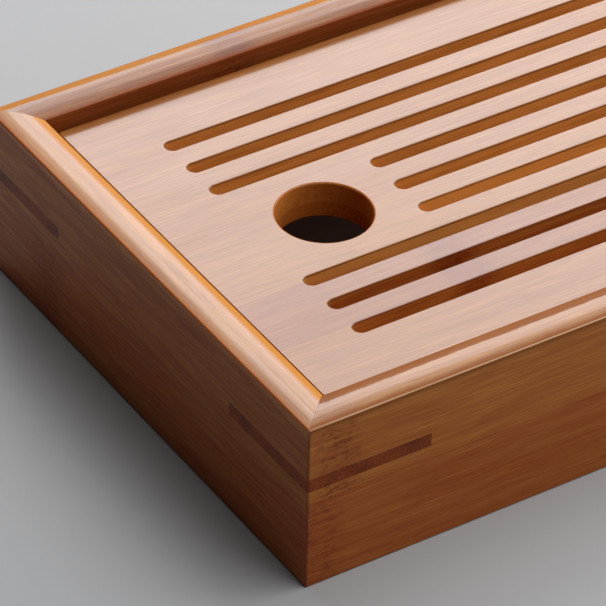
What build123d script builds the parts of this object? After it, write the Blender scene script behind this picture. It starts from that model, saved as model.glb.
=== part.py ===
from build123d import *

import os
from math import asin, degrees

# Gongfu tea tray, in millimetres. A mitred bamboo box carries a slotted two-ply lid over a loose
# water pan. The origin is at the middle of the underside, +Z is up, +X runs along the length and
# the lid's finger hole is at the -X end.

# Box
tray_length = 280.0
tray_width = 180.0
tray_height = 58.0
wall_thickness = 12.6
corner_round = 0.9
foot_arris = 0.5

# Raised rim, shaped along the top of each wall
rim_crest_offset = 5.8
rim_outer_radius = 20.0
rim_inner_radius = 15.5
rim_outer_round = 0.8
rim_inner_round = 0.4

# Lid, and the ledge strips that it lies on. The lid is loose, and rests pushed towards +X.
lid_recess = 6.0
lid_face_ply = 7.0
lid_under_ply = 5.5
lid_gap = 1.7
lid_rest_shift = 1.4
lid_corner_round = 0.9
lid_edge_ease = 0.6
rail_width = 8.7
rail_height = 12.0

# Drain slots and finger hole
slot_pitch = 13.0
slot_width = 5.0
slots_per_group = 3
slot_groups = 3
slot_end_margin = 23.8
slot_ease = 0.4
finger_hole_diameter = 29.4
finger_hole_margin = 32.4
finger_hole_land = 10.7
finger_hole_ease = 0.7

# Spline keys let across the mitred corners, with their tops level with the lid's seat
key_height = 4.6
key_cover_inside = 0.5

# Base panel, held in a groove round the walls
base_thickness = 6.0
base_recess = 4.0
groove_depth = 5.0
groove_end_gap = 0.3

# Water pan, one thin moulding
pan_clearance = 1.2
pan_headroom = 5.5
pan_wall = 2.0
pan_floor = 2.0
pan_flange_width = 3.5
pan_flange_thickness = 2.2
pan_draft_degrees = 4.0
pan_corner_round = 13.0
pan_floor_round = 3.0
pan_foot_height = 0.8
pan_foot_width = 6.0
pan_foot_inset = 8.0

# Heights that several pieces share
lid_top_height = tray_height - lid_recess
lid_seat_height = lid_top_height - lid_face_ply - lid_under_ply
key_bottom_height = lid_seat_height - key_height
base_top_height = base_recess + base_thickness
pan_top_height = lid_seat_height - pan_headroom

# Plan sizes that several pieces share
inner_length = tray_length - 2 * wall_thickness
inner_width = tray_width - 2 * wall_thickness
opening_length = inner_length - 2 * rail_width
opening_width = inner_width - 2 * rail_width
lid_length = inner_length - 2 * lid_gap
lid_width = inner_width - 2 * lid_gap
key_leg = 2 * (wall_thickness + rail_width - key_cover_inside)

os.makedirs("parts", exist_ok=True)


def finish(piece, name):
    """Labels a finished piece and writes it under its own name."""
    piece.label = name
    export_step(piece, f"parts/{name}.step")


def mitred_plan(run, across, depth):
    """Adds the plan of a strip along the -Y side of a frame, run long, with both ends mitred."""
    Polygon(
        (-run / 2, -across / 2),
        (run / 2, -across / 2),
        (run / 2 - depth, -across / 2 + depth),
        (-run / 2 + depth, -across / 2 + depth),
        align=None,
    )


def key_plan(corner_x, corner_y, side_x, side_y):
    """Adds the triangle that a key fills, in from the corner of the box on its two outer faces."""
    Polygon(
        (corner_x, corner_y),
        (corner_x - side_x * key_leg, corner_y),
        (corner_x, corner_y - side_y * key_leg),
        align=None,
    )


# The wall's section: x runs inwards from the outer face and y runs up. The rim is a low crown, two
# arcs that meet at its crest, with a rounded arris on either side. The base panel's groove is cut
# into the inner face.
with BuildSketch() as wall_section:
    outer_sweep = degrees(asin(rim_crest_offset / rim_outer_radius))
    inner_sweep = degrees(asin((wall_thickness - rim_crest_offset) / rim_inner_radius))
    outer_centre = (rim_crest_offset, tray_height - rim_outer_radius)
    inner_centre = (rim_crest_offset, tray_height - rim_inner_radius)
    with BuildLine():
        outer_crown = CenterArc(outer_centre, rim_outer_radius, 90, outer_sweep)
        inner_crown = CenterArc(inner_centre, rim_inner_radius, 90, -inner_sweep)
        Polyline(
            inner_crown @ 1,
            (wall_thickness, base_top_height),
            (wall_thickness - groove_depth, base_top_height),
            (wall_thickness - groove_depth, base_recess),
            (wall_thickness, base_recess),
            (wall_thickness, 0),
            (foot_arris, 0),
            (0, foot_arris),
            outer_crown @ 1,
        )
    make_face()
    for side, arris_round in ((0, rim_outer_round), (-1, rim_inner_round)):
        arris = wall_section.vertices().group_by(Axis.X)[side].sort_by(Axis.Y)[-1]
        fillet(arris, arris_round)


def wall(name, run, across, turn):
    """One wall of the box: the section run along the -Y side, mitred, and turned to its side."""
    start = Plane(origin=(-run / 2, -across / 2, 0), x_dir=(0, 1, 0), z_dir=(1, 0, 0))
    with BuildPart() as piece:
        with BuildSketch(start):
            add(wall_section.sketch)
        extrude(amount=run)
        with BuildSketch(Plane.XY):
            mitred_plan(run, across, wall_thickness)
        extrude(amount=tray_height, mode=Mode.INTERSECT)
        with BuildSketch(Plane.XY):
            RectangleRounded(run, across, corner_round)
        extrude(amount=tray_height, mode=Mode.INTERSECT)
        with BuildSketch(Plane.XY.offset(key_bottom_height)):
            for side in (-1, 1):
                key_plan(side * run / 2, -across / 2, side, -1)
        extrude(amount=key_height, mode=Mode.SUBTRACT)
    finish(piece.part.rotate(Axis.Z, turn), name)


def rail(name, run, across, turn):
    """One ledge strip, glued to the inner face of a wall, with its top at the lid's seat."""
    with BuildPart() as piece:
        with BuildSketch(Plane.XY.offset(lid_seat_height - rail_height)):
            mitred_plan(run - 2 * wall_thickness, across - 2 * wall_thickness, rail_width)
        extrude(amount=rail_height)
        with BuildSketch(Plane.XY.offset(key_bottom_height)):
            for side in (-1, 1):
                key_plan(side * run / 2, -across / 2, side, -1)
        extrude(amount=key_height, mode=Mode.SUBTRACT)
    finish(piece.part.rotate(Axis.Z, turn), name)


def corner_key(name, side_x, side_y):
    """One triangular spline key, flush with both outer faces of its corner."""
    with BuildPart() as piece:
        with BuildSketch(Plane.XY.offset(key_bottom_height)):
            key_plan(side_x * tray_length / 2, side_y * tray_width / 2, side_x, side_y)
            RectangleRounded(tray_length, tray_width, corner_round, mode=Mode.INTERSECT)
        extrude(amount=key_height)
    finish(piece.part, name)


def drain_openings():
    """Cuts the finger hole and the groups of drain slots out of the active sketch.

    The middle group starts further from the end, clear of the finger hole.
    """
    hole_x = -lid_length / 2 + finger_hole_margin + finger_hole_diameter / 2
    outer_start = -lid_length / 2 + slot_end_margin
    middle_start = hole_x + finger_hole_diameter / 2 + finger_hole_land
    slot_end = lid_length / 2 - slot_end_margin
    slot_count = slots_per_group * slot_groups
    with Locations((hole_x, 0)):
        Circle(finger_hole_diameter / 2, mode=Mode.SUBTRACT)
    for index in range(slot_count):
        in_middle = index // slots_per_group == slot_groups // 2
        start = middle_start if in_middle else outer_start
        across = (index - (slot_count - 1) / 2) * slot_pitch
        with Locations(((start + slot_end) / 2, across)):
            SlotOverall(slot_end - start, slot_width, mode=Mode.SUBTRACT)


def lid_board(name, bottom, thickness, worn_face):
    """One ply of the lid. worn_face is Z's sign on the face whose edges are eased by hand."""
    with BuildPart() as piece:
        with BuildSketch(Plane((lid_rest_shift, 0, bottom))):
            RectangleRounded(lid_length, lid_width, lid_corner_round)
            drain_openings()
        extrude(amount=thickness)
        face = piece.faces().filter_by(Plane.XY).sort_by(Axis.Z)[-1 if worn_face > 0 else 0]
        rims = face.inner_wires()
        hole_rim = rims.filter_by(lambda wire: len(wire.edges()) == 1)
        slot_rims = rims.filter_by(lambda wire: len(wire.edges()) > 1)
        fillet(hole_rim.edges(), finger_hole_ease)
        fillet(slot_rims.edges(), slot_ease)
        face = piece.faces().filter_by(Plane.XY).sort_by(Axis.Z)[-1 if worn_face > 0 else 0]
        fillet(face.outer_wire().edges(), lid_edge_ease)
    finish(piece.part, name)


def water_pan(name):
    """The water pan: a drafted tub with a turned-out flange, a round floor edge and a foot ring."""
    flange_length = opening_length - 2 * pan_clearance
    flange_width = opening_width - 2 * pan_clearance
    tub_length = flange_length - 2 * pan_flange_width
    tub_width = flange_width - 2 * pan_flange_width
    tub_round = pan_corner_round - pan_flange_width
    tub_bottom = base_top_height + pan_foot_height
    tub_depth = pan_top_height - tub_bottom
    foot_length = tub_length - 2 * pan_foot_inset
    foot_width = tub_width - 2 * pan_foot_inset
    with BuildPart() as hollow:
        with BuildSketch(Plane.XY.offset(pan_top_height)):
            RectangleRounded(
                tub_length - 2 * pan_wall, tub_width - 2 * pan_wall, tub_round - pan_wall
            )
        extrude(amount=-(tub_depth - pan_floor), taper=pan_draft_degrees)
        floor_edges = hollow.faces().sort_by(Axis.Z)[0].outer_wire().edges()
        fillet(floor_edges, pan_floor_round - pan_wall / 2)
    with BuildPart() as piece:
        with BuildSketch(Plane.XY.offset(pan_top_height)):
            RectangleRounded(tub_length, tub_width, tub_round)
        extrude(amount=-tub_depth, taper=pan_draft_degrees)
        floor_edges = piece.faces().sort_by(Axis.Z)[0].outer_wire().edges()
        fillet(floor_edges, pan_floor_round)
        with BuildSketch(Plane.XY.offset(pan_top_height - pan_flange_thickness)):
            RectangleRounded(flange_length, flange_width, pan_corner_round)
        extrude(amount=pan_flange_thickness)
        with BuildSketch(Plane.XY.offset(base_top_height)):
            RectangleRounded(foot_length, foot_width, tub_round)
            RectangleRounded(
                foot_length - 2 * pan_foot_width,
                foot_width - 2 * pan_foot_width,
                tub_round - pan_foot_width / 2,
                mode=Mode.SUBTRACT,
            )
        extrude(amount=pan_foot_height)
        add(hollow.part, mode=Mode.SUBTRACT)
    finish(piece.part, name)


# Walls and the ledge strips inside them
for make, kind in ((wall, "wall"), (rail, "rail")):
    make(f"front_{kind}", tray_length, tray_width, 0)
    make(f"right_{kind}", tray_width, tray_length, 90)
    make(f"back_{kind}", tray_length, tray_width, 180)
    make(f"left_{kind}", tray_width, tray_length, 270)

# Keys
for end, side_x in (("left", -1), ("right", 1)):
    for face_name, side_y in (("front", -1), ("back", 1)):
        corner_key(f"{face_name}_{end}_key", side_x, side_y)

# Base panel
with BuildPart() as base_panel:
    panel_margin = groove_depth - groove_end_gap
    with BuildSketch(Plane.XY.offset(base_recess)):
        Rectangle(inner_length + 2 * panel_margin, inner_width + 2 * panel_margin)
    extrude(amount=base_thickness)
finish(base_panel.part, "base_panel")

# Lid
lid_board("lid_under_board", lid_seat_height, lid_under_ply, -1)
lid_board("lid_face_board", lid_seat_height + lid_under_ply, lid_face_ply, 1)

# Pan
water_pan("water_pan")
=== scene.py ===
import math

import bpy
from mathutils import Color, Matrix, Vector


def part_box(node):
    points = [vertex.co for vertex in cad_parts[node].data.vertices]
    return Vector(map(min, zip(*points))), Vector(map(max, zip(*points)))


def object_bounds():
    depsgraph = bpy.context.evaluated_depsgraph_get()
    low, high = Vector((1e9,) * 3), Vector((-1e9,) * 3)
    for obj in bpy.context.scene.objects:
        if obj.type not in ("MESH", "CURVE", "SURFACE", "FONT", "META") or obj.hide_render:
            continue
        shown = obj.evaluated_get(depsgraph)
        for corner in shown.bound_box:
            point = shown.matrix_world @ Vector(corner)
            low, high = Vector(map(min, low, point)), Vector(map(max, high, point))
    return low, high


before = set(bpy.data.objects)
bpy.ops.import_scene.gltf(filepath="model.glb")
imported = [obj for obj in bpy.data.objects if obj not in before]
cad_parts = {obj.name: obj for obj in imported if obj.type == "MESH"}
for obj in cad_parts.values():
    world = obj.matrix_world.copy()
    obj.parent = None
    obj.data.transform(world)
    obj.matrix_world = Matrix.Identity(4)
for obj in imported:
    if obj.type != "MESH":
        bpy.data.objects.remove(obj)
cad_low, cad_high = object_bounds()

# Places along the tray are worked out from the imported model, in metres.
MM = 0.001
X, Y, Z = range(3)
tray_left, tray_front = cad_low.x, cad_low.y
finger_hole = Vector((tray_left + 62.8 * MM, 0, 0))
finger_hole_radius = 14.7 * MM
lid_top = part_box("lid_face_board")[1].z

# The photograph's view: what it is aimed at, how far off it stands, how it is turned, and its lens
aim_point = Vector((-106.2 * MM, -33.9 * MM, lid_top))
view_distance = 1412.7 * MM
view_azimuth = math.radians(33.26)
view_elevation = math.radians(37.45)
view_roll = math.radians(1.35)
lens_length = 291.2

# Studio light: softboxes, each with the direction that it stands in, its distance and size in
# metres and its power in watts. The window softbox has no direction of its own: it stands where
# the lid mirrors it to the view.
window_softbox = ("window_softbox", None, 1.5, 0.85, 9.4)
low_softbox = ("low_softbox", Vector((0.37, 0.83, 0.41)), 1.5, 0.8, 2.1)
left_softbox = ("left_softbox", Vector((0.0, 0.68, 0.73)), 1.5, 0.9, 5.2)
top_softbox = ("top_softbox", Vector((0.42, 0.22, 0.88)), 1.5, 1.0, 7.2)
right_softbox = ("right_softbox", Vector((0.92, -0.18, 0.40)), 1.7, 1.1, 15.0)
front_softbox = ("front_softbox", Vector((0.27, -0.42, 0.87)), 1.7, 1.1, 12.0)
softboxes = (
    window_softbox, low_softbox, left_softbox, top_softbox, right_softbox, front_softbox
)
room_grey = 0.03
floor_reach = 4.0


def view_axes():
    """The right, up and forward directions of the photograph's view, which looks down."""
    forward = Vector((
        math.sin(view_azimuth) * math.cos(view_elevation),
        math.cos(view_azimuth) * math.cos(view_elevation),
        -math.sin(view_elevation),
    ))
    level_right = Vector((math.cos(view_azimuth), -math.sin(view_azimuth), 0))
    level_up = level_right.cross(forward)
    right = level_right * math.cos(view_roll) + level_up * math.sin(view_roll)
    return right, right.cross(forward), forward


def placed(right, up, forward, place):
    """The matrix of a camera or lamp at a place, whose own -Z points forward."""
    return Matrix.Translation(place) @ Matrix((right, up, -forward)).transposed().to_4x4()


def make_camera():
    """The camera, at the photograph's viewing angle."""
    right, up, forward = view_axes()
    camera = bpy.data.objects.new("camera", bpy.data.cameras.new("camera"))
    camera.data.lens = lens_length
    camera.matrix_world = placed(right, up, forward, aim_point - view_distance * forward)
    bpy.context.collection.objects.link(camera)
    bpy.context.scene.camera = camera


def make_softbox(name, direction, distance, size, watts):
    """A square softbox that stands in a direction and faces the middle of the tray."""
    forward = -direction.normalized()
    right = forward.cross(Vector((0, 0, 1))).normalized()
    lamp = bpy.data.lights.new(name, "AREA")
    lamp.shape = "SQUARE"
    lamp.size = size
    lamp.energy = watts
    softbox = bpy.data.objects.new(name, lamp)
    softbox.matrix_world = placed(right, right.cross(forward), forward, -forward * distance)
    softbox.visible_camera = False
    bpy.context.collection.objects.link(softbox)


def make_lights():
    """The studio's softboxes."""
    _, _, forward = view_axes()
    mirrored = Vector((forward.x, forward.y, -forward.z))
    for name, direction, distance, size, watts in softboxes:
        make_softbox(name, direction or mirrored, distance, size, watts)


# A mix node has sockets for numbers, vectors and colours. These are the ones for colours.
mix_share, mix_first, mix_second, mix_result = 0, 6, 7, 2


class Finish:
    """A material put together node by node. Each method adds nodes and returns an output."""

    def __init__(self, name):
        self.material = bpy.data.materials.new(name)
        self.material.use_nodes = True
        self.tree = self.material.node_tree
        self.shader = self.tree.nodes["Principled BSDF"]

    def add(self, kind, inputs, output=0, **settings):
        """One node, with its settings and with its inputs set to a value or to an output."""
        node = self.tree.nodes.new(kind)
        for name, value in settings.items():
            setattr(node, name, value)
        for socket, value in inputs.items():
            self.put(node.inputs[socket], value)
        return node.outputs[output]

    def put(self, socket, value):
        """Sets a socket to a plain value, or links it to another node's output."""
        if isinstance(value, bpy.types.NodeSocket):
            self.tree.links.new(value, socket)
        else:
            socket.default_value = value

    def math(self, operation, *values):
        """One operation on plain numbers and outputs."""
        return self.add("ShaderNodeMath", dict(enumerate(values)), operation=operation)

    def place(self):
        """Where a point is on the piece, as one output and as its X, Y and Z."""
        where = self.add("ShaderNodeTexCoord", {}, output="Object")
        return where, self.add("ShaderNodeSeparateXYZ", {"Vector": where}).node.outputs

    def facing(self):
        """Which way the surface faces, as three outputs X, Y and Z."""
        way = self.add("ShaderNodeTexCoord", {}, output="Normal")
        return self.add("ShaderNodeSeparateXYZ", {"Vector": way}).node.outputs

    def scaled(self, where, scale):
        """A place with each of its axes multiplied by a number."""
        return self.add("ShaderNodeMapping", {"Vector": where, "Scale": scale})

    def noise(self, where, cell, detail=2.0, roughness=0.5, output=0):
        """Noise whose cells have the given length on each axis."""
        inputs = {
            "Vector": self.scaled(where, [1 / length for length in cell]),
            "Scale": 1.0,
            "Detail": detail,
            "Roughness": roughness,
        }
        return self.add("ShaderNodeTexNoise", inputs, output)

    def ramp(self, value, stops, interpolation="LINEAR"):
        """A colour ramp. Each stop is a position and a colour."""
        node = self.add("ShaderNodeValToRGB", {"Fac": value}).node
        node.color_ramp.interpolation = interpolation
        elements = node.color_ramp.elements
        for _ in stops[2:]:
            elements.new(1.0)
        for element, (position, tone) in zip(elements, stops):
            element.position = position
            element.color = tone
        return node.outputs["Color"]

    def steps(self, value, stops):
        """A ramp of plain numbers, which jumps at each stop."""
        greys = [(position, (grey, grey, grey, 1)) for position, grey in stops]
        return self.ramp(value, greys, "CONSTANT")

    def between(self, value, low, high, to_low=0.0, to_high=1.0):
        """Carries a range of values smoothly on to another range, and holds at its ends."""
        return self.add(
            "ShaderNodeMapRange",
            {"Value": value, "From Min": low, "From Max": high, "To Min": to_low, "To Max": to_high},
            interpolation_type="SMOOTHSTEP",
        )

    def times_where(self, share, value, factor):
        """A value that is multiplied by a factor where the share is full."""
        return self.math("MULTIPLY", value, self.between(share, 0.0, 1.0, 1.0, factor))

    def dulled(self, lacquer, share, loss):
        """A lacquer that loses this part of itself where the share is full."""
        return self.math("MULTIPLY", lacquer, self.math("MULTIPLY_ADD", share, -loss, 1.0))

    def line(self, away, edge, core, strength):
        """A line that has its strength within the core and is gone at the edge."""
        return self.between(self.math("ABSOLUTE", away), edge, core, 0.0, strength)

    def blend(self, share, first, second, blend_type="MIX"):
        """Mixes two colours by a share."""
        return self.add(
            "ShaderNodeMix",
            {mix_share: share, mix_first: first, mix_second: second},
            mix_result,
            data_type="RGBA",
            blend_type=blend_type,
        )

    def bump(self, height, depth):
        """The normal of a surface that rises by this depth from height 0 to height 1."""
        return self.add("ShaderNodeBump", {"Height": height, "Distance": depth})

    def shade(self, **inputs):
        """Sets the shader's own sockets, named with underscores for spaces."""
        for name, value in inputs.items():
            self.put(self.shader.inputs[name.replace("_", " ")], value)
        return self.material


def colour(*shown):
    """A colour given as it shows on screen, from 0 to 255, as the linear values that nodes take."""
    return (*Color([part / 255 for part in shown]).from_srgb_to_scene_linear(), 1.0)


# Bamboo: the colours of its wood and of the marks on it
fibre_light = colour(232, 163, 84)
fibre_pale = colour(205, 140, 62)
fibre_mid = colour(168, 108, 45)
fibre_dark = colour(112, 56, 24)
fibre_red = colour(164, 66, 18)
fibre_burnt = colour(92, 40, 18)
knot_red = colour(122, 44, 16)
# Colours painted along the rims' rounded edges as light and shade: golden and orange where light
# falls on them, rust and brown where they are in shade
painted_edge_golden = colour(206, 134, 50)
painted_edge_honey = colour(194, 122, 34)
painted_edge_orange = colour(182, 92, 26)
painted_edge_rust = colour(142, 76, 16)
painted_edge_brown = colour(144, 66, 26)
# The pale colour of the painted highlight along the arris
arris_highlight_colour = colour(250, 214, 180)
scorched = colour(188, 108, 40)
# The multiplier of the painted shade on the back wall's inner face
inner_face_shade_colour = (0.60, 0.45, 0.55, 1.0)

# The length along the grain, the thickness and the detail of each kind of mark
hair_noise = (30 * MM, 0.26 * MM, 2.0)
fibre_noise = (18 * MM, 0.22 * MM, 4.0)
bundle_noise = (45 * MM, 3.0 * MM, 2.0)
flush_noise = (70 * MM, 14 * MM, 2.0)
speck_noise = (2.6 * MM, 1.0 * MM, 2.0)
wander_size = (60 * MM, 20 * MM)
wander_reach = 1.2 * MM

# Where on the values of its noise each kind of mark begins and is full
fibre_span = (0.34, 0.66)
hair_span = (0.56, 0.68)
cloud_span = (0.30, 0.70)
flush_span = (0.35, 0.65)
knot_span = (0.48, 0.66)
smear_span = (0.35, 0.65)
# The next span breaks up the painted highlight along the arris
arris_highlight_span = (0.35, 0.60)
grain_span = (0.3, 0.7)

# The tones that the wood runs through from pale to dark, and how its depth is laid on them
fibre_tones = ((0.0, fibre_light), (0.25, fibre_pale), (0.6, fibre_mid), (0.95, fibre_dark))
tone_scale, tone_shift = 0.7, 0.25

# The depth that all wood has, and what bamboo nodes and end grain add to it. End grain is wood that
# faces along its fibres by more than the first share, and fully from the second.
wood_depth = 0.3
node_depth = 0.16
end_grain_depth = 0.4
end_grain_facing = (0.3, 0.9)

# How many times the contrast the hairs are paler, and how far the knots show in colour and relief
hair_paleness = 2.2
knot_strength = 0.6
knot_relief = 0.5

# The share of the lacquer that is left where it is thinnest, and the surface of wood and lacquer
thin_lacquer = 0.94
wood_roughness = (0.42, 0.58)
wood_relief = 0.03 * MM
lacquer_relief = 0.004 * MM

# The bamboo nodes: how far off their middle they end and are full, how much the fibres fray them,
# and how far from the middle of the tray they can lie
node_edge, node_core, node_fray = 15 * MM, 6 * MM, 8 * MM
node_reach = 200 * MM

# How far above its lower edge the last strip is reckoned to reach
last_strip_width = 60 * MM

# Where slots and holes cut the wood: how far below the top that starts and is full, what is added
# to its depth there (so many times the depth, less the lift), and how many times stronger its marks
# and its redness are
cut_start, cut_full = 0.5 * MM, 1.0 * MM
cut_contrast, cut_lift = 3.3, 3.45
cut_marks, cut_redness = 4.5, 3.0

# The scorched wood round the finger hole: how far off the wall it ends and is full, how strong its
# weakest and its strongest smears are, and how much of the lacquer it takes
scorch_end, scorch_full = 0.9 * MM, 0.3 * MM
scorch_strength = (0.55, 0.95)
scorch_dulling = 0.95

# The rim: the height where it starts and how soon it is full, and what it leaves of the wood's
# redness, marks and knots. The loss of redness is painted light: it makes the top more orange than
# the sides, for the strong light that falls on it
rim_foot, rim_border = 55 * MM, 1.5 * MM
rim_top_lit_redness, rim_marks, rim_knots = 0.15, 0.5, 0.3

# The rim's glue lines: the edge and the core of each, where the outer ply ends, and how dark
# the mitre and the line between the plies are
joint_edge, joint_core = 0.22 * MM, 0.088 * MM
outer_ply = 5.5 * MM
mitre_darkness, ply_darkness = 0.65, 0.2

# The painted highlight along the arris, a pale line that stands in for the glint of light there:
# how far in it lies, its edge and core, and what is left of it where the bundles of fibres break it
# up most and least
arris_highlight_inset, arris_highlight_edge, arris_highlight_core = 0.33 * MM, 0.231 * MM, 0.099 * MM
arris_highlight_strength = (0.35, 1.0)

# The light and shade painted along each wall's rim, in bands on its rounded edges: how far in from
# the outer face each band starts and is full, its colour, and how much of the lacquer it dulls
front_painted_edges = ((2.8 * MM, 0.9 * MM, painted_edge_rust, 0.85), (7.7 * MM, 8.7 * MM, painted_edge_rust, 0.96))
left_painted_edges = ((2.2 * MM, 0.0, painted_edge_orange, 0.55), (8.2 * MM, 10.4 * MM, painted_edge_golden, 0.7))
back_painted_edges = ((4.2 * MM, 3.2 * MM, painted_edge_honey, 0.95), (11.3 * MM, 12.3 * MM, painted_edge_brown, 0.8))

# How strongly a full painted edge band colours the wood, and how far its border wavers
painted_edge_strength = 0.8
painted_edge_waver = 1.0 * MM


def along_grain(grain, length, thickness):
    """The size on each axis of a mark that lies along the grain axis."""
    size = [thickness] * 3
    size[grain] = length
    return size


def grain_marks(finish, where, grain):
    """The noises that the wood is made of: hairs, fibres, bundles of fibres, the slow flush of its
    colour and the specks of its nodes. A slow drift keeps them from running dead straight."""
    drift = finish.noise(where, along_grain(grain, *wander_size), output="Color")
    wandering = finish.add(
        "ShaderNodeVectorMath",
        {0: drift, 1: (wander_reach,) * 3, 2: where},
        operation="MULTIPLY_ADD",
    )
    kinds = (hair_noise, fibre_noise, bundle_noise, flush_noise, speck_noise)
    return [
        finish.noise(wandering, along_grain(grain, length, thickness), detail)
        for length, thickness, detail in kinds
    ]


def strip_steps(finish, across, strips):
    """Each strip's darkness, and where along the grain its bamboo node lies, as two outputs."""
    low, high = strips[0][0], strips[-1][0] + last_strip_width
    height = finish.add(
        "ShaderNodeMapRange", {"Value": across, "From Min": low, "From Max": high}
    )
    tones = []
    places = []
    for edge, darkness, node in strips:
        at = (edge - low) / (high - low)
        tones.append((at, darkness))
        places.append((at, (node + node_reach) / (2 * node_reach)))
    place = finish.add(
        "ShaderNodeMapRange",
        {"Value": finish.steps(height, places), "To Min": -node_reach, "To Max": node_reach},
    )
    return finish.steps(height, tones), place


def saw_scorch(finish, where, specks):
    """How strongly the hole saw has scorched the wood, in smears round the finger hole's wall and
    on its eased edge."""
    off_axis = finish.add(
        "ShaderNodeVectorMath",
        {0: finish.scaled(where, (1, 1, 0)), 1: finger_hole},
        output="Value",
        operation="DISTANCE",
    )
    near_wall = finish.between(
        off_axis, finger_hole_radius + scorch_end, finger_hole_radius + scorch_full
    )
    smears = finish.between(specks, *smear_span, *scorch_strength)
    return finish.math("MULTIPLY", near_wall, smears)


def ragged_inset(finish, inset, bundles, specks):
    """How far in from the outer face a painted edge band takes a point to be. The bundles of fibres
    make its border waver and the specks tear it, each by the waver at most and by half of it on
    average."""
    unmoved = finish.math("SUBTRACT", inset, painted_edge_waver)
    wavering = finish.math("MULTIPLY_ADD", bundles, painted_edge_waver, unmoved)
    return finish.math("MULTIPLY_ADD", specks, painted_edge_waver, wavering)


def rim_finish(finish, axes, wood, lacquer, bundles, specks, topside, rim):
    """The wood and the lacquer of a wall, with the marks of its rim: painted light and shade in
    bands along both edges, the glue lines of the mitre and between the plies, and a painted
    highlight in a line along the arris."""
    insets = [
        finish.math("SUBTRACT", half, finish.math("ABSOLUTE", axis))
        for half, axis in zip((cad_high.x, cad_high.y), axes)
    ]
    inset = finish.math("MINIMUM", *insets)
    ragged = ragged_inset(finish, inset, bundles, specks)
    # Painted light and shade in bands along the rim's rounded edges; each band also dulls the
    # lacquer
    for start, full, edge_tone, dulling in rim["painted_edges"]:
        share = finish.math("MULTIPLY", finish.between(ragged, start, full), topside)
        wood = finish.blend(finish.math("MULTIPLY", share, painted_edge_strength), wood, edge_tone)
        lacquer = finish.dulled(lacquer, share, dulling)
    off_mitre = finish.math("SUBTRACT", *insets)
    mitre = finish.line(off_mitre, joint_edge, joint_core, mitre_darkness)
    off_ply = finish.math("SUBTRACT", inset, outer_ply)
    ply = finish.line(off_ply, joint_edge, joint_core, ply_darkness)
    wood = finish.blend(finish.math("MAXIMUM", mitre, ply), wood, fibre_burnt)
    # A painted highlight: a pale line along the arris, as strong as the rim asks
    off_line = finish.math("SUBTRACT", inset, arris_highlight_inset)
    line = finish.line(off_line, arris_highlight_edge, arris_highlight_core, rim["arris_highlight"])
    left = finish.between(bundles, *arris_highlight_span, *arris_highlight_strength)
    arris_highlight = finish.math("MULTIPLY", finish.math("MULTIPLY", line, left), topside)
    return finish.blend(arris_highlight, wood, arris_highlight_colour), lacquer


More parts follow.
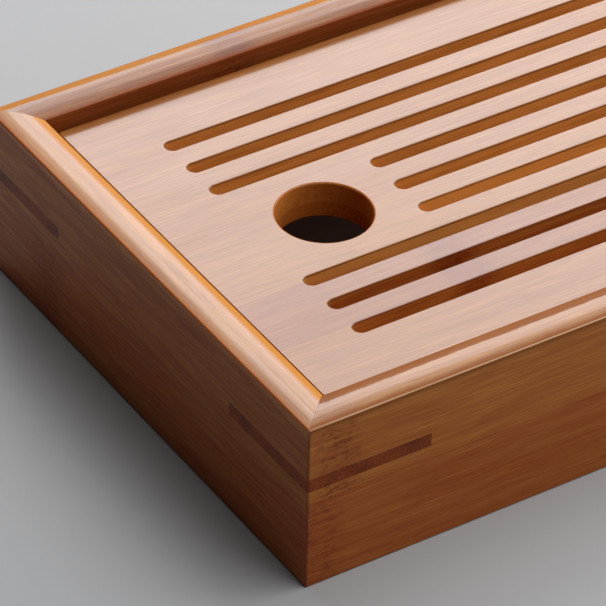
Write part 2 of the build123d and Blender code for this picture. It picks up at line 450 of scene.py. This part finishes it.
def bamboo(name, grain, stack, strips, darkness, redness, contrast=0.10, clouds=0.06, polish=1.0,
           rim=None, inner_shade_span=None, cut_below=None, sawn=False):
    """Lacquered laminated bamboo.

    grain and stack are axis numbers, along the fibres and across the strips. Each strip is its lower
    edge on the stack axis, its darkness, and where along the grain its node lies. contrast is how
    far the fibres differ in tone, clouds how far whole bundles of them do, and polish how much
    lacquer there is. rim is how a mitred wall differs along its top, where the wood is painted less
    red, so more orange than the sides, for the light that falls there: how much darker its top is,
    how lacquered it is, the painted light and shade in bands along its edges, and how strong the
    painted highlight along its arris is. inner_shade_span, for a wall with a rim, is the places on
    the Y axis where painted shade on its inner face starts and is full. Below the height cut_below,
    slots and holes cut the fibres, and show the strips' tones more strongly. sawn wood is scorched
    round the finger hole.
    """
    finish = Finish(name)
    where, axes = finish.place()
    hairs, fibres, bundles, flush, specks = grain_marks(finish, where, grain)

    tone, node_place = strip_steps(finish, axes[stack], strips)
    away = finish.math("ABSOLUTE", finish.math("SUBTRACT", axes[grain], node_place))
    frayed = finish.math("MULTIPLY_ADD", fibres, node_fray, away)
    near_node = finish.between(frayed, node_edge, node_core)
    knots = finish.math("MULTIPLY", near_node, finish.between(specks, *knot_span))

    marks = finish.math(
        "ADD",
        finish.between(fibres, *fibre_span, -contrast, contrast),
        finish.between(hairs, *hair_span, 0.0, -hair_paleness * contrast),
    )
    depth = finish.math("ADD", tone, darkness + wood_depth)
    depth = finish.math("ADD", depth, finish.between(bundles, *cloud_span, -clouds, clouds))
    depth = finish.math("MULTIPLY_ADD", near_node, node_depth, depth)
    flushed = finish.between(bundles, *flush_span, redness, redness + clouds)
    red = finish.math("ADD", tone, flushed)
    lacquer = finish.between(flush, *flush_span, thin_lacquer * polish, polish)
    if rim:
        # Painted light: above the rim's foot the wood is made less red, so more orange than the
        # sides, and its tone is shifted by each wall's own amount
        topside = finish.between(axes[Z], rim_foot, rim_foot + rim_border)
        depth = finish.math("MULTIPLY_ADD", topside, rim["darker"], depth)
        red = finish.times_where(topside, red, rim_top_lit_redness)
        marks = finish.times_where(topside, marks, rim_marks)
        knots = finish.times_where(topside, knots, rim_knots)
        lacquer = finish.math("MULTIPLY_ADD", topside, rim["lacquer"] - polish, lacquer)
    if cut_below:
        cut = finish.between(axes[Z], cut_below - cut_start, cut_below - cut_full)
        stronger = finish.math("MULTIPLY_ADD", depth, cut_contrast, -cut_lift)
        depth = finish.math("MULTIPLY_ADD", cut, stronger, depth)
        marks = finish.times_where(cut, marks, cut_marks)
        red = finish.times_where(cut, red, cut_redness)
    along_fibres = finish.math("ABSOLUTE", finish.facing()[grain])
    end_grain = finish.between(along_fibres, *end_grain_facing)
    depth = finish.math("MULTIPLY_ADD", end_grain, end_grain_depth, depth)
    depth = finish.math("MULTIPLY_ADD", finish.math("ADD", depth, marks), tone_scale, tone_shift)

    wood = finish.ramp(depth, fibre_tones)
    wood = finish.blend(red, wood, fibre_red)
    wood = finish.blend(finish.math("MULTIPLY", knots, knot_strength), wood, knot_red)
    if sawn:
        scorch = saw_scorch(finish, where, specks)
        wood = finish.blend(scorch, wood, scorched)
        lacquer = finish.dulled(lacquer, scorch, scorch_dulling)
    if rim:
        wood, lacquer = rim_finish(finish, axes, wood, lacquer, bundles, specks, topside, rim)
    # Painted shade: below the rim, the wall's inner face is darkened by a multiplier
    if inner_shade_span:
        inner_shade = finish.times_where(topside, finish.between(axes[Y], *inner_shade_span), 0.0)
        wood = finish.blend(inner_shade, wood, inner_face_shade_colour, "MULTIPLY")

    relief = finish.math("MULTIPLY_ADD", knots, knot_relief, fibres)
    return finish.shade(
        Base_Color=wood,
        Roughness=finish.between(fibres, *grain_span, *wood_roughness),
        Normal=finish.bump(relief, wood_relief),
        Specular_IOR_Level=0.1,
        Coat_Weight=lacquer,
        Coat_IOR=1.55,
        Coat_Roughness=0.15,
        Coat_Normal=finish.bump(fibres, lacquer_relief),
    )


# The keys: the size of the wood's specks and clouds, how far each deepens its tone, and its tones
key_speck_size = (0.40 * MM, 0.40 * MM, 1.0 * MM)
key_cloud_size = (9 * MM,) * 3
key_speck_depth, key_cloud_depth = 0.9, 0.5
key_tones = ((0.52, colour(158, 74, 26)), (0.7, colour(134, 58, 18)), (0.86, colour(96, 44, 14)))
key_roughness = (0.45, 0.60)
key_relief = 0.03 * MM

# The pan: the grain that its mould gave it, and its tones
mould_grain_size = (0.5 * MM,) * 3
plastic_tones = ((0.3, colour(66, 40, 28)), (0.7, colour(80, 50, 35)))
plastic_roughness = (0.48, 0.62)
plastic_relief = 0.03 * MM

# The floor: the size of the paper's clouds, in metres, and its tones
paper_cloud_size = (1 / 3,) * 3
paper_tones = ((0.2, colour(176, 177, 179)), (0.8, colour(182, 183, 184)))


def speckled_key():
    """The keys' dark cross-grained bamboo, speckled with the ends of its fibres."""
    finish = Finish("key_bamboo")
    where, _ = finish.place()
    specks = finish.noise(where, key_speck_size, detail=3.0, roughness=0.6)
    clouds = finish.noise(where, key_cloud_size)
    speckled = finish.math("MULTIPLY", specks, key_speck_depth)
    return finish.shade(
        Base_Color=finish.ramp(
            finish.math("MULTIPLY_ADD", clouds, key_cloud_depth, speckled), key_tones
        ),
        Roughness=finish.between(specks, *grain_span, *key_roughness),
        Normal=finish.bump(specks, key_relief),
        Specular_IOR_Level=0.1,
        Coat_Weight=0.12,
        Coat_Roughness=0.15,
    )


def moulded_plastic():
    """The pan's dark plastic, with the fine grain of its mould."""
    finish = Finish("pan_plastic")
    where, _ = finish.place()
    grain = finish.noise(where, mould_grain_size, detail=3.0)
    return finish.shade(
        Base_Color=finish.ramp(grain, plastic_tones),
        Roughness=finish.between(grain, *grain_span, *plastic_roughness),
        Normal=finish.bump(grain, plastic_relief),
    )


def floor_paper():
    """Plain pale paper."""
    finish = Finish("floor_paper")
    where, _ = finish.place()
    return finish.shade(
        Base_Color=finish.ramp(finish.noise(where, paper_cloud_size), paper_tones),
        Roughness=0.9,
        Specular_IOR_Level=0.1,
    )


def make_room():
    """The light of the room round the tray, and the plain pale floor that it stands on."""
    world = bpy.data.worlds.new("room")
    world.use_nodes = True
    world.node_tree.nodes["Background"].inputs["Color"].default_value = (room_grey,) * 3 + (1,)
    bpy.context.scene.world = world
    corners = [
        (floor_reach * x, floor_reach * y, 0) for x, y in ((-1, -1), (1, -1), (1, 1), (-1, 1))
    ]
    mesh = bpy.data.meshes.new("floor")
    mesh.from_pydata(corners, [], [(0, 1, 2, 3)])
    mesh.materials.append(floor_paper())
    floor = bpy.data.objects.new("floor", mesh)
    bpy.context.collection.objects.link(floor)


def dress(names, material):
    """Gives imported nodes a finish."""
    for name in names:
        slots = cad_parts[name].data.materials
        slots.clear()
        slots.append(material)


def dress_nodes():
    """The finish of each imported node."""
    # Each strip of a wall or of the lid: its lower edge, its darkness and the place of its node
    front_strips = [(0, 0.15, tray_left + 4 * MM), (30 * MM, 0.0, tray_left + 10 * MM)]
    # The short walls' strips are darker than the long walls': painted shade, on top of their own
    # differences in tone
    left_strips = [(0, 0.25, tray_front + 146 * MM), (28 * MM, 0.12, tray_front - 60 * MM)]
    back_strips = [(0, 0.15, 90 * MM), (30 * MM, 0.0, -60 * MM)]
    lid_strips = [
        (-75.0 * MM, 0.05, 40 * MM),
        (-50.5 * MM, 0.18, tray_left + 84 * MM),
        (-26.0 * MM, 0.0, 120 * MM),
        (-1.5 * MM, 0.05, -170 * MM),
        (23.0 * MM, 0.06, 95 * MM),
        (47.5 * MM, 0.07, -180 * MM),
        (72.0 * MM, 0.05, -180 * MM),
    ]
    # Where the painted shade on the back wall's inner face starts and is full, on the Y axis
    back_inner_shade_span = (cad_high.y - 3 * MM, cad_high.y - 10 * MM)
    # Each rim: how much darker its top is, how lacquered it is, its bands of painted light and
    # shade, and the strength of the painted highlight along its arris. The short rims are made paler
    # on top to make up for the painted shade in the short walls' wood.
    front_rim = {"darker": 0.25, "lacquer": 0.78, "painted_edges": front_painted_edges, "arris_highlight": 0.5}
    back_rim = {"darker": 0.50, "lacquer": 0.66, "painted_edges": back_painted_edges, "arris_highlight": 0.0}
    short_rim = {"darker": -0.12, "lacquer": 0.83, "painted_edges": left_painted_edges, "arris_highlight": 0.0}
    long_wood = {
        "grain": X,
        "stack": Z,
        "darkness": 0.0,
        "redness": 0.4,
        "contrast": 0.25,
        "clouds": 0.10,
        "polish": 0.18,
    }
    # Painted shade: the short walls' wood is made darker for the deep shadow on the left face, and
    # the right wall and the short rails share it
    shaded_short_wood = {**long_wood, "grain": Y, "darkness": 0.2, "redness": 0.25}
    board_wood = {"grain": X, "stack": Y, "strips": lid_strips}

    dress(["front_wall"], bamboo("front_bamboo", strips=front_strips, rim=front_rim, **long_wood))
    dress(
        ["back_wall"],
        bamboo("back_bamboo", strips=back_strips, rim=back_rim, inner_shade_span=back_inner_shade_span, **long_wood),
    )
    dress(["left_wall"], bamboo("left_bamboo", strips=left_strips, rim=short_rim, **shaded_short_wood))
    dress(["right_wall"], bamboo("right_bamboo", strips=left_strips, rim=short_rim, **shaded_short_wood))
    dress(["front_rail", "back_rail"], bamboo("long_rail_bamboo", strips=back_strips, **long_wood))
    dress(["left_rail", "right_rail"], bamboo("short_rail_bamboo", strips=left_strips, **shaded_short_wood))
    lid_bamboo = bamboo(
        "lid_bamboo",
        darkness=0.36,
        redness=0.0,
        clouds=0.04,
        cut_below=lid_top,
        sawn=True,
        **board_wood,
    )
    dress(["lid_face_board"], lid_bamboo)
    under_bamboo = bamboo("lid_under_bamboo", darkness=0.25, redness=0.15, sawn=True, **board_wood)
    dress(["lid_under_board"], under_bamboo)
    dress(["base_panel"], bamboo("base_bamboo", darkness=0.2, redness=0.15, **board_wood))
    keys = [f"{side}_{end}_key" for side in ("front", "back") for end in ("left", "right")]
    dress(keys, speckled_key())
    dress(["water_pan"], moulded_plastic())


bpy.context.scene.view_settings.view_transform = "Standard"
make_camera()
make_lights()
make_room()
dress_nodes()
